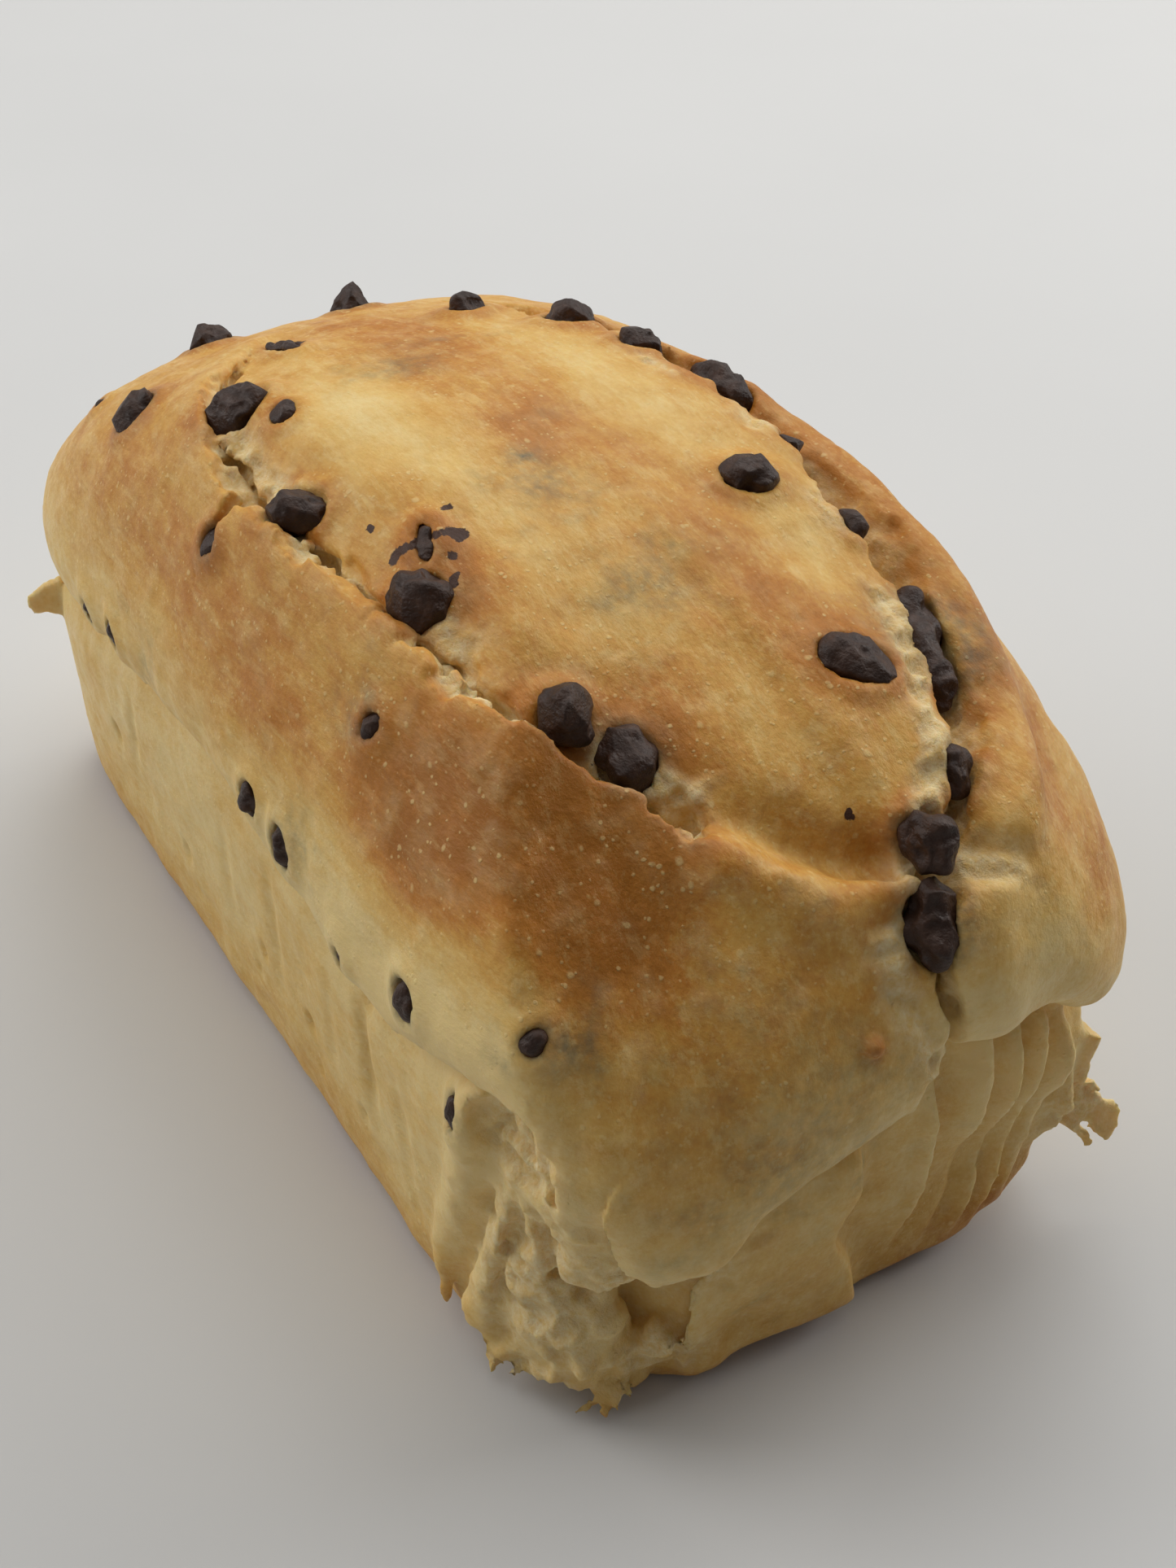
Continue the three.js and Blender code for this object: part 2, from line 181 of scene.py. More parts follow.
def plain_loaf(x, y, z):
    """Below zero inside the loaf: tin-shaped walls with the domed crown on top."""
    lip = lip_height(x, y)
    share = np.clip(z / lip, 0.0, 1.0)
    lean = WALL_TAPER * (1.0 - share) + BASE_ROUNDING[0] * np.clip(1.0 - z / BASE_ROUNDING[1], 0.0, 1.0) ** 2
    lean = lean + UNDERCUT * bell(z, lip + 1.0, 9.0)
    wall = (squircle(x, y, RIM[0] - lean, RIM[1] - lean, WALL_SQUARENESS) - 1.0) * 60.0
    wall = np.maximum(wall, np.maximum(z - lip - 3.0, -z))
    widest = lip + LIP_DEPTH
    rise = np.clip((z - widest) / (HEIGHT - widest), 0.0, 0.999)
    under = np.clip((widest - z) / LIP_DEPTH, 0.0, 1.0)
    sides = crown_section(x, y, rise, 1.0 - np.sqrt(1.0 - under * under)) * 60.0
    height = crown_height(x, y, widest)
    slope = sum(g ** 2 for g in np.gradient(height, ROUGH_VOXEL, axis=(0, 1)))
    steep = np.sqrt(1.0 + np.minimum(slope, 9.0))
    share_of_top = smooth_step(rise, 0.45, 0.70)
    crown = sides * (1.0 - share_of_top) + (z - height) / steep * share_of_top
    crown = np.maximum(crown, lip - z)
    return np.minimum(wall, crown)


class Field:
    """A box of distances to the bread's skin, one number per voxel, with strokes and lumps to shape it."""

    def __init__(self):
        count = np.ceil((GRID_HIGH - GRID_LOW) / VOXEL).astype(int)
        self.count = count
        self.axes = [GRID_LOW[i] + VOXEL * np.arange(count[i]) for i in range(3)]
        self.distance = self.from_plain_shape()

    def from_plain_shape(self):
        """True distances to the plain loaf, measured from a coarse mesh of it."""
        axes = [np.arange(GRID_LOW[i], GRID_HIGH[i], ROUGH_VOXEL) for i in range(3)]
        x, y, z = np.meshgrid(*axes, indexing="ij", sparse=True)
        rough = np.clip(plain_loaf(x, y, z), -20.0, 20.0).astype(np.float32)
        grid = vdb.FloatGrid(20.0)
        grid.copyFromArray(rough)
        points, quads = grid.convertToQuads(isovalue=0.0)
        places = (points * ROUGH_VOXEL).astype(float) / VOXEL
        triangles = np.concatenate([quads[:, [0, 1, 2]], quads[:, [0, 2, 3]]])
        fine = vdb.FloatGrid.createLevelSetFromPolygons(
            places.astype(np.float32), triangles=triangles.astype(np.uint32),
            transform=vdb.createLinearTransform(1.0), halfWidth=BAND / VOXEL)
        distance = np.zeros(tuple(self.count), dtype=np.float32)
        fine.copyToArray(distance)
        return distance * VOXEL

    def points_of(self, index):
        return np.stack([self.axes[i][index[i]] for i in range(3)], axis=1).astype(np.float32)

    def sample(self, points, distance=None):
        """Distances between the voxels, from this field or from a copy of it."""
        distance = self.distance if distance is None else distance
        place = (points - GRID_LOW) / VOXEL
        corner = np.clip(np.floor(place).astype(int), 0, self.count - 2)
        return blended(distance, corner, place - corner)

    def slope(self, points):
        """Outward direction of the skin near each point."""
        out = np.stack([
            self.sample(points + step) - self.sample(points - step)
            for step in np.eye(3) * 2.5], axis=1)
        return out / np.linalg.norm(out, axis=1, keepdims=True)

    def block(self, centre, reach):
        """Index ranges of the voxels within reach of a point."""
        middle = np.asarray(centre) - GRID_LOW
        low = np.clip(np.floor((middle - reach) / VOXEL).astype(int), 0, self.count - 1)
        high = np.clip(np.ceil((middle + reach) / VOXEL).astype(int) + 1, 1, self.count)
        return tuple(slice(a, b) for a, b in zip(low, high))

    def value_at(self, points, store):
        """The stored value at the voxel nearest to each point."""
        place = np.clip(np.round((points - GRID_LOW) / VOXEL).astype(int), 0, self.count - 1)
        return store[place[:, 0], place[:, 1], place[:, 2]]

    def grids(self, block):
        return np.meshgrid(*[self.axes[i][block[i]] for i in range(3)], indexing="ij", sparse=True)

    def snap(self, rough):
        """The skin point seen from the loaf's heart line through a rough position."""
        rough = np.asarray(rough, dtype=float)
        heart = heart_of(rough)
        way = rough - heart
        way /= np.linalg.norm(way)
        steps = np.arange(10.0, 130.0, 0.25)
        inside = self.sample(heart + steps[:, None] * way)
        return heart + way * steps[np.argmax(inside > 0.0)]


# -------------------- drawing on the skin
class Stroke:
    """A line drawn on the skin, and where each voxel near it lies: sideways, above and along the line."""

    def __init__(self, path, reach, closes=1.0):
        self.closes = closes
        self.line = self.even_line(np.array([field.snap(p) for p in path]), 1.2)
        out = field.slope(self.line)
        tangent = np.gradient(self.line, axis=0)
        tangent /= np.linalg.norm(tangent, axis=1, keepdims=True)
        side = np.cross(tangent, out)
        side /= np.linalg.norm(side, axis=1, keepdims=True)
        shape = tuple(field.count)
        nearest = np.full(shape, reach * reach, dtype=np.float32)
        self.sideways = np.full(shape, 99.0, dtype=np.float32)
        self.above = np.zeros(shape, dtype=np.float32)
        self.share = np.zeros(shape, dtype=np.float32)
        for k, centre in enumerate(self.line):
            block = field.block(centre, reach)
            away = [axis - centre[i] for i, axis in enumerate(field.grids(block))]
            far = sum(a * a for a in away)
            closer = far < nearest[block]
            nearest[block][closer] = far[closer]
            for store, way in ((self.sideways, side[k]), (self.above, out[k])):
                store[block][closer] = sum(a * w for a, w in zip(away, way))[closer]
            self.share[block][closer] = k / (len(self.line) - 1)
        self.index = np.nonzero(self.sideways < 98.0)
        self.hold = 1.0 - smooth_step(np.sqrt(nearest[self.index]), reach - 9.0, reach)
        self.u = self.sideways[self.index]
        self.w = self.above[self.index]
        self.s = self.share[self.index]
        self.points = field.points_of(self.index)

    def fade(self):
        """1 along most of the line, dying away toward its ends and the edge of its reach."""
        return np.sin(np.pi * np.clip(self.s * self.closes, 0.01, 0.99)) ** 0.4 * self.hold

    @staticmethod
    def even_line(points, spacing):
        """A smooth line through the points with evenly spaced samples."""
        steps = np.linspace(0, len(points) - 1, len(points) * 16)
        base = np.clip(steps.astype(int), 0, len(points) - 2)
        t = (steps - base)[:, None]
        padded = np.concatenate([2 * points[:1] - points[1:2], points, 2 * points[-1:] - points[-2:-1]])
        a, b, c, d = (padded[base + i] for i in range(4))
        curve = 0.5 * (2 * b + (c - a) * t + (2 * a - 5 * b + 4 * c - d) * t ** 2
                       + (3 * b - a - 3 * c + d) * t ** 3)
        length = np.concatenate([[0], np.cumsum(np.linalg.norm(np.diff(curve, axis=0), axis=1))])
        wanted = np.linspace(0, length[-1], max(int(length[-1] / spacing), 4))
        return np.stack([np.interp(wanted, length, curve[:, i]) for i in range(3)], axis=1)


def raise_along(stroke, amount, middle, width):
    """Swells the skin along a stroke; amount may change from voxel to voxel."""
    field.distance[stroke.index] -= amount * bell(stroke.u, middle, width)


def cut_along(stroke, middle, width, depth, tilt, ragged, seed):
    """Opens a split beside the stroke that narrows downward and leans sideways by tilt at its bottom."""
    fade = stroke.fade()
    wander = 0.85 + 0.3 * noise(stroke.points, 14.0, seed + 9)
    torn = rough_noise(stroke.points, 4.0, seed) * ragged
    down = np.clip(-stroke.w / depth, 0.0, 1.0)
    half = width * fade * wander * (1.0 - 0.75 * down) + 0.35 * np.clip(stroke.w, 0.0, 8.0)
    beside = np.abs(stroke.u - middle - tilt * down + torn) - half
    opening = np.maximum(beside, -(stroke.w + depth * fade + torn))
    field.distance[stroke.index] = np.maximum(field.distance[stroke.index], -opening)


# -------------------- lumps, hollows and flaps
def smooth_min(a, b, blend):
    h = np.clip(0.5 + 0.5 * (b - a) / blend, 0.0, 1.0)
    return b + (a - b) * h - blend * h * (1.0 - h)


def join(index, shape, blend):
    field.distance[index] = smooth_min(field.distance[index], shape, blend)


def carve(index, shape, blend):
    field.distance[index] = -smooth_min(-field.distance[index], shape, blend)


def near(centre, reach):
    """Index and points of the voxels in a box around a place."""
    block = field.block(centre, reach)
    ranges = [np.arange(s.start, s.stop) for s in block]
    index = tuple(a.ravel() for a in np.meshgrid(*ranges, indexing="ij"))
    return index, field.points_of(index)


def ball_distance(points, centre, size, turn):
    frame_of = np.array(Matrix.Rotation(math.radians(turn[0]), 3, "X")
                        @ Matrix.Rotation(math.radians(turn[1]), 3, "Y")
                        @ Matrix.Rotation(math.radians(turn[2]), 3, "Z"))
    local = (points - np.asarray(centre, dtype=float)) @ frame_of
    scaled = np.linalg.norm(local / size, axis=1)
    slope = np.linalg.norm(local / np.square(size), axis=1)
    return scaled * (scaled - 1.0) / np.maximum(slope, 1e-4)


def add_lump(centre, size, turn, blend, rough, seed):
    index, points = near(centre, max(size) + 6.0)
    lump = ball_distance(points, centre, size, turn) + rough * rough_noise(points, 5.0, seed)
    join(index, lump, blend)


def take_hollow(centre, size, turn, blend, rough=0.0, seed=1):
    index, points = near(centre, max(size) + 6.0)
    hollow = ball_distance(points, centre, size, turn) + rough * rough_noise(points, 4.0, seed)
    carve(index, hollow, blend)


def roll_distance(points, start, end, radii):
    """Distance to a rounded roll that runs from start to end and changes its thickness."""
    start = np.asarray(start, dtype=float)
    way = np.asarray(end, dtype=float) - start
    along = np.clip((points - start) @ way / (way @ way), 0.0, 1.0)
    away = np.linalg.norm(points - start - along[:, None] * way, axis=1)
    return away - (radii[0] + (radii[1] - radii[0]) * along)


def roll_voxels(start, end, radii):
    middle = (np.asarray(start, dtype=float) + np.asarray(end, dtype=float)) / 2
    return near(middle, np.linalg.norm(np.subtract(end, start)) / 2 + max(radii) + 4.0)


def add_roll(start, end, radii, blend, rough, seed):
    index, points = roll_voxels(start, end, radii)
    roll = roll_distance(points, start, end, radii) + rough * rough_noise(points, 5.0, seed)
    join(index, roll, blend)


def take_groove(start, end, radii, blend, rough, seed):
    index, points = roll_voxels(start, end, radii)
    roll = roll_distance(points, start, end, radii) + rough * rough_noise(points, 4.0, seed)
    carve(index, roll, blend)


def add_flap(start, end, width, thickness, normal, taper, rough, seed):
    """A thin tongue of dough; taper 1 ends in a point and 0 in a ragged edge as wide as its start."""
    start = np.asarray(start, dtype=float)
    way = np.asarray(end, dtype=float) - start
    length = np.linalg.norm(way)
    way /= length
    across = np.cross(way, np.asarray(normal, dtype=float))
    across /= np.linalg.norm(across)
    up = np.cross(across, way)
    index, points = near(start + way * length / 2, length / 2 + width)
    local = points - start
    torn = rough * rough_noise(points, 3.0, seed)
    along = (local @ way + torn * 2.0) / length
    half = width / 2 * (1.0 - taper * np.clip(along, 0.0, 1.0) ** 0.7)
    flat = thickness / 2 * (1.0 - 0.55 * np.clip(along, 0.0, 1.0))
    shape = np.maximum(np.abs(local @ across) - half + torn, np.abs(local @ up) - flat + torn * 0.3)
    shape = np.maximum(shape, np.maximum(-along, along - 1.0) * length)
    join(index, shape, 1.5)


# -------------------- sculpting the loaf
def swell_between_seams():
    """The crown rises into two strands and a middle oval, with a valley along each seam."""
    # The left strand laps over the oval with a step.
    above = smooth_step(left_seam.u, -1.2, 1.4)
    step = above * 2.8 * bell(left_seam.u, 2.0, 8.0) - (1.0 - above) * 2.2 * bell(left_seam.u, -1.0, 7.5)
    field.distance[left_seam.index] -= step * left_seam.fade()
    # The right strand stands above its seam, less so where it turns down at the near end.
    lips = right_seam.fade() * smooth_step(right_seam.s, 0.12, 0.45)
    near_end = smooth_step(right_seam.points[:, 0], 92.0, 108.0)
    raise_along(right_seam, 3.6 * lips * (1.0 - 0.7 * near_end), -10.0, 4.6)
    raise_along(right_seam, -1.2 * lips, -1.0, 4.5)
    # The oval dips behind the near end of the left strand.
    scoop = smooth_step(left_seam.s, 0.80, 0.92) * left_seam.hold
    raise_along(left_seam, -3.0 * scoop, -5.0, 3.6)


def open_seams():
    closed_end = 1.0 - smooth_step(left_seam.s, 0.80, 0.88)
    cut_along(left_seam, -0.8, 2.8 * closed_end, 6.0 * closed_end + 0.1, 2.4, 1.3, 11)
    cut_along(right_seam, -1.0, 5.0 - 3.0 * smooth_step(right_seam.s, 0.88, 0.97), 8.0, 1.0, 0.6, 21)
    cut_along(side_tear, 0.0, 1.6, 4.0, 0.0, 0.6, 31)


def pleats(points):
    """How proud each place of the pleated wall stands, 0..1, and where the pleats are."""
    x, y, z = points.T
    rise = np.clip(z / 62.0, 0.0, 1.0)
    across = y + 6.0 * (1.0 - rise) ** 1.6 - 1.2 * np.sin(rise * 4.5) + 2.6 * noise(points, (40, 14, 30), 5)
    part = 1.0 - np.mod(across / PLEAT_SPACING, 1.0)
    fold = smooth_step(part, 0.0, 0.25) * (1.0 - 0.9 * smooth_step(part, 0.25, 1.0))
    fold = fold * (0.8 + 0.45 * noise(points, (40, 7, 16), 6))
    there = smooth_step(across, 9.0, 13.0) * (1.0 - smooth_step(y, 46.0, 52.0))
    under_lip = 1.0 - smooth_step(z - lip_height(x, y), -5.0, 0.0)
    there = there * smooth_step(z, 3.0, 20.0) * under_lip * smooth_step(x, 92.0, 99.0)
    return fold, there


def end_wall_pleats():
    """Dough squeezed against the tin under the right strand: overlapping upright pleats."""
    index, points = near((104, 26, 32), 34.0)
    fold, there = pleats(points)
    field.distance[index] -= (PLEAT_DEPTH * fold - 2.2) * there


def end_wall_fold():
    """The broad panel below the left strand laps over the pleats with a soft edge."""
    index, points = near((104, -8, 24), 40.0)
    x, y, z = points.T
    edge = 4.0 - 4.5 * bell(z, 27.0, 8.0) - 0.14 * z
    lap = 2.8 * smooth_step(edge - y, -1.0, 1.3) * (1.0 - 0.7 * smooth_step(edge - y, 3.0, 26.0))
    lap -= 1.4 * bell(edge - y, -5.0, 4.0)
    there = smooth_step(x, 94.0, 100.0) * (1.0 - smooth_step(z, 44.0, 50.0)) * smooth_step(z, 1.0, 7.0)
    field.distance[index] -= lap * there
    take_hollow((107.5, -21, 13), (2.0, 5.0, 2.4), (10, 0, 0), 1.5)
    take_groove((107, -32, 30), (106.5, -33, 6), (1.0, 1.6), 1.0, 0.5, 40)


def cut_corner(direction, offset, top, seed):
    """Takes an upright corner off along a slanting wall, fading out above `top`."""
    index, points = near((direction[0] * offset, direction[1] * offset, 24), 44.0)
    beyond = points[:, :2] @ np.array(direction) - offset
    beyond = beyond - 14.0 * smooth_step(points[:, 2], top - 14.0, top + 4.0)
    beyond = beyond + 0.7 * rough_noise(points, 7.0, seed)
    carve(index, -beyond, 3.0)


def torn_corner():
    """The corner that opened in the tin: folds hang over a hollow full of shredded crumb."""
    cut_corner((0.667, -0.745), 91.5, 52.0, 40)
    # Folds that hang down from the crown.
    add_roll((97, -43.5, 52), (97, -41, 38), (8.0, 7.5), 4.0, 0.2, 55)
    add_roll((98, -39, 39), (105, -30, 43), (6.0, 3.0), 4.0, 0.2, 56)
    # Upright rolls of dough with grooves between them.
    add_roll((82, -51.5, 58), (71, -51, 13), (4.4, 4.0), 2.0, 0.3, 42)
    take_groove((88, -55, 57), (80, -57, 10), (3.6, 3.4), 1.5, 0.4, 41)
    add_roll((88, -48, 49), (83, -51, 12), (3.4, 4.4), 1.6, 0.3, 46)
    add_roll((88, -50.5, 33), (82, -53.5, 10), (1.2, 1.5), 1.2, 0.3, 49)
    take_groove((91, -51, 42), (87, -52.5, 18), (2.4, 1.5), 1.0, 0.4, 43)
    # The knob of bare crumb at the foot.
    add_roll((91, -46.5, 41), (91, -46, 26), (3.8, 6.0), 1.0, 0.5, 44)
    add_lump((94, -43.5, 17), (9.5, 7.0, 13), (0, 0, 42), 1.5, 1.1, 45)
    take_groove((96, -48, 33), (108, -37, 35), (1.4, 1.7), 0.8, 0.5, 52)
    add_roll((97.5, -35, 5), (102, -32, 16), (3.6, 3.4), 1.2, 0.9, 48)
    take_groove((102.5, -41.0, 22), (103.5, -39, 6), (0.8, 0.8), 0.8, 0.5, 50)
    take_groove((108.5, -33, 25), (108, -34, 13), (1.1, 1.3), 1.0, 0.4, 51)
    # A torn hollow under the crown's edge, with shreds across it and ragged edges at the foot.
    take_hollow((90.5, -54.5, 58.5), (9.5, 5.0, 8.0), (0, -22, 0), 1.0, 0.9, 53)
    take_groove((95.5, -53.0, 63.0), (98.8, -51.0, 54.0), (1.3, 0.9), 1.2, 0.6, 54)
    add_roll((89, -49.5, 60), (84, -50.5, 44), (1.6, 1.9), 1.4, 0.7, 70)
    add_roll((94.5, -49.5, 58), (91, -49.0, 44), (1.8, 2.6), 1.4, 0.8, 71)
    add_flap((93, -47, 17), (85.5, -53.5, 8), 17, 3.4, (0.5, -0.8, 0.25), 0.15, 0.9, 72)
    add_flap((97, -41, 11), (100.6, -43.2, 4), 12, 3.0, (0.7, -0.6, 0.4), 0.2, 1.0, 73)


def lifted_corner():
    """The far corner of the pleated end is drawn in above and does not reach the ground."""
    cut_corner((0.62, 0.785), 103.0, 60.0, 57)
    index, points = near((96, 46, 8), 32.0)
    x, y, z = points.T
    below = 0.5 * (y - 25.0) - z - 24.0 * (1.0 - smooth_step(x, 58.0, 96.0))
    below = below + 0.5 * rough_noise(points, 6.0, 58)
    carve(index, -0.87 * below, 3.0)


def side_wall_marks():
    """Soft upright creases and small pits where the dough rose against the tin."""
    for x, z, lean, depth in ((-52, 34, 12, 1.2), (-8, 30, 4, 0.9), (12, 34, -3, 1.4),
                              (34, 30, 5, 0.8), (47, 36, -6, 2.4), (60, 26, -8, 1.4)):
        take_hollow((x, -57.5, z), (1.8, 2.2 + depth, 17), (0, lean, 0), 2.4)
    for x, z, size in ((-30, 22, 1.6), (2, 18, 1.2), (6, 26, 1.0), (24, 24, 1.5), (26, 14, 1.1),
                       (44, 20, 1.3), (70, 12, 1.2), (-62, 30, 1.3)):
        take_hollow((x, -55.0, z), (size, 2.4, size * 2.0), (0, -12, 0), 1.2)
    take_hollow((48, -57, 52), (3.5, 4, 6), (0, -8, 0), 1.5, 0.6, 52)
    take_hollow((-12.5, -51, 101), (2.6, 3.2, 3.4), (0, 0, 0), 1.0, 0.3, 59)


def loose_flaps():
    """The pointed end of the left strand, a small blister, frayed skirts and threads of dough."""
    add_roll((86, -18, 91.0), (97, -7, 86.5), (4.8, 4.2), 3.0, 0.2, 61)
    add_roll((97, -7, 87.0), (101.5, 7.0, 90.2), (3.6, 0.4), 2.0, 0.2, 61)
    add_lump((110.3, -7.2, 72.2), (1.7, 1.7, 1.7), (0, 0, 0), 0.8, 0.1, 69)
    add_flap((99, 47, 32), (102.2, 52.6, 31), 17, 4.4, (1, -0.35, 0), 0.3, 0.25, 62)
    add_flap((101, 50, 23), (106.5, 58.5, 17), 9, 2.6, (1, -0.4, 0.2), 0.35, 0.55, 63)
    add_flap((102, 50, 20), (105.5, 54.0, 12.5), 3, 1.8, (1, -0.4, 0.2), 0.5, 0.3, 67)
    add_flap((-98, -50, 41), (-101, -56.5, 38.5), 9, 2.6, (1, -0.2, 0.1), 0.5, 0.4, 64)
    add_roll((72.5, -53.0, 18), (73.5, -54.0, 5), (1.4, 1.0), 1.0, 0.3, 65)
    add_roll((90, -48, 3), (95.0, -50.5, 1.2), (1.8, 1.1), 1.4, 0.5, 66)
    add_roll((95.0, -50.5, 1.0), (97.5, -50.0, 0.6), (1.1, 0.9), 0.8, 0.4, 68)


def chocolate_pits():
    """Dough swells round each piece of chocolate and stops a hair short of it."""
    gap = distance_to_chocolate()
    index = np.nonzero((gap < 5.0) & (field.distance > -6.0) & (field.distance < 6.0))
    far = gap[index]
    field.distance[index] -= 0.9 * bell(far, 1.4, 1.8)
    field.distance[index] = np.maximum(field.distance[index], 0.15 - far)


def distance_to_chocolate():
    """Distance from every voxel to the nearest CAD piece of chocolate."""
    points, triangles, first = [], [], 0
    for name in CHOCOLATE_NODES:
        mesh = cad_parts[name].data
        mesh.calc_loop_triangles()
        points += [np.array(v.co) / MM + CENTRE for v in mesh.vertices]
        triangles += [[first + corner for corner in t.vertices] for t in mesh.loop_triangles]
        first += len(mesh.vertices)
    places = (np.array(points) - GRID_LOW) / VOXEL
    grid = vdb.FloatGrid.createLevelSetFromPolygons(
        places.astype(np.float32), triangles=np.array(triangles, dtype=np.uint32),
        transform=vdb.createLinearTransform(1.0), halfWidth=6.0 / VOXEL)
    distance = np.zeros(tuple(field.count), dtype=np.float32)
    grid.copyToArray(distance)
    return distance * VOXEL


def chocolate_places():
    """Middle and radius of each piece of chocolate."""
    places = []
    for name in CHOCOLATE_NODES:
        low, high = (np.array(corner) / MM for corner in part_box(name))
        places.append(((low + high) / 2 + CENTRE, float(np.mean(high - low)) / 2))
    return places


def flatten_base():
    z = field.axes[2][None, None, :]
    field.distance[:] = np.maximum(field.distance, -z)


# -------------------- from field to mesh
def meshed_skin():
    """The bread's skin as points and quads, without any loose crumbs that noise has cut off."""
    grid = vdb.FloatGrid(BAND)
    grid.copyFromArray(field.distance)
    points, quads = grid.convertToQuads(isovalue=0.0)
    quads = quads.astype(np.int64)
    label = np.arange(len(points))
    while True:
        lowest = label[quads].min(axis=1)
        fresh = label.copy()
        for corner in range(4):
            np.minimum.at(fresh, quads[:, corner], lowest)
        fresh = fresh[fresh]
        if (fresh == label).all():
            break
        label = fresh
    body = np.bincount(label).argmax()
    kept = label == body
    number = np.cumsum(kept) - 1
    quads = number[quads[kept[quads[:, 0]]]]
    return points[kept] * VOXEL + GRID_LOW, quads


def skin_normals(points, quads):
    across = points[quads[:, 2]] - points[quads[:, 0]]
    along = points[quads[:, 3]] - points[quads[:, 1]]
    facing = np.cross(across, along)
    total = np.zeros_like(points)
    for corner in range(4):
        np.add.at(total, quads[:, corner], facing)
    return total / np.maximum(np.linalg.norm(total, axis=1, keepdims=True), 1e-9)


def mesh_object(name, points, quads):
    """A Blender mesh from points in the loaf's own millimetres."""
    mesh = bpy.data.meshes.new(name)
    mesh.vertices.add(len(points))
    mesh.vertices.foreach_set("co", ((points - CENTRE) * MM).astype(np.float32).ravel())
    mesh.loops.add(quads.size)
    mesh.loops.foreach_set("vertex_index", quads.astype(np.int32).ravel())
    mesh.polygons.add(len(quads))
    mesh.polygons.foreach_set("loop_start", np.arange(0, quads.size, 4, dtype=np.int32))
    mesh.update(calc_edges=True)
    mesh.shade_smooth()
    thing = bpy.data.objects.new(name, mesh)
    bpy.context.scene.collection.objects.link(thing)
    return thing


def paint_attribute(thing, name, values):
    layer = thing.data.attributes.new(name, "FLOAT", "POINT")
    layer.data.foreach_set("value", np.asarray(values, dtype=np.float32))


def roughen(points, normals, crumb):
    """Small bumps: soft all over, shredded where the crumb shows, none at the flat base."""
    soft = 0.30 * noise(points, 9.0, 71) + 0.12 * noise(points, 4.0, 72)
    shredded = crumb * (0.95 * (0.5 - np.abs(noise(points, 4.2, 75)) * 1.6) + 0.60 * noise(points, 2.2, 73)
                        + 0.35 * noise(points, (3.0, 1.2, 1.5), 74))
    lift = (soft + shredded) * smooth_step(points[:, 2], 0.5, 4.0)
    return points + normals * lift[:, None]


# -------------------- where the oven coloured the bread
BROWNED = [      # place, reach along x, y and z, and how much darker
    ((-50, -50, 84), (36, 14, 22), 0.20), ((4, -52, 88), (26, 12, 16), 0.26),
    ((56, -47, 95), (20, 10, 13), 0.50), ((74, -38, 97), (17, 12, 11), 0.66),
    ((90, -38, 88), (12, 10, 8), 0.40), ((84, -22, 97), (9, 6, 6), 0.25),
    ((62, -53, 85), (14, 8, 9), 0.30), ((111, -7.2, 72.4), (2.2, 2.2, 2.2), 0.5),
    ((104, -14, 20), (8, 22, 18), 0.18), ((103, 36, 10), (9, 14, 6), 0.45),
    ((8, -2, 120), (16, 10, 12), 0.28), ((-40, 0, 113), (30, 12, 12), 0.20),
    ((30, -27, 113), (14, 6, 8), 0.26), ((56, 8, 109), (18, 10, 8), 0.22),
    ((66, -14, 106), (13, 7, 7), 0.30), ((36, 44, 107), (36, 8, 12), 0.26),
    ((88, 36, 93), (18, 9, 12), 0.20), ((105, 44, 76), (10, 12, 12), 0.20),
]
PALE = [
    ((-16, -22, 115), (22, 9, 8), 0.36), ((28, -18, 115), (30, 9, 8), 0.16),
    ((2, 19, 118), (26, 7, 8), 0.26),
    ((80, 4, 100), (13, 12, 8), 0.14), ((44, 23, 112), (22, 5, 6), 0.34),
    ((108, 16, 76), (8, 12, 12), 0.28), ((40, -56, 68), (26, 6, 14), 0.24),
    ((78, -54, 70), (16, 8, 12), 0.30), ((94, -50, 30), (18, 14, 24), 0.40),
]
CHOCOLATE_GREY_AND_PAINTED_SHADE = [     # grey-green over buried chocolate and thin skin, and painted shade on the near end's bulge: place, reach and strength
    ((4, 1, 121), 3.5, 1.0), ((14, -8, 117), 3.0, 1.0), ((21, -9, 117), 6.5, 0.7),
    ((47, -5, 113), 6.5, 0.7), ((39, -46, 101), 3.0, 0.7), ((38, -49, 96), 4.0, 0.6),
    ((96, -47, 80), 5.0, 0.9), ((30, -56, 70), 5.0, 0.6), ((-26, -7, 115), 7.0, 0.6),
    # The first entry on the next line is painted shade: the near end's bulge darkened to olive where it lies
    # in shade.
    ((112, -20, 60), 20.0, 0.45), ((84, -24, 98), 4.0, 0.4), ((-30, -56, 66), 5.0, 0.5),
]

SMEARS = [       # wiped chocolate: from, to and half width of each streak
    ((22.2, -34.3, 111.3), (26.2, -26.1, 114.6), 1.7), ((27.1, -30.7, 113.2), (29.6, -28.2, 113.6), 0.6),
    ((13.8, -34.7, 111.4), (14.4, -34.3, 111.5), 0.5), ((20, -25, 115.5), (20, -24, 115.5), 0.4),
    ((33, -30, 112), (34, -31, 112), 0.6), ((91, -5, 94.5), (92.2, -6.2, 94), 0.6),
    ((89, 2, 95.5), (89.6, 1.6, 95), 0.5), ((98.5, 30, 88), (100, 28, 87), 0.45),
    ((34, 28, 114), (37, 27, 113.5), 0.6), ((-56, -17, 108), (-48, -13, 109.5), 0.9),
    ((63, 5, 107), (67, 9, 106), 0.25), ((61, 7, 107.5), (65, 11, 106.5), 0.2),
    ((77, 10, 103), (78, 11, 103), 0.4), ((50, -30, 110), (51, -30.4, 110), 0.4),
]
TORN = [         # broken-open crumb: place, and reach along x, y and z
    ((96, -52, 30), (15, 11, 20)), ((91, -51, 57), (9, 8, 9)), ((104, -38, 34), (8, 16, 8)),
    ((106, -36, 12), (5, 9, 10)),
]
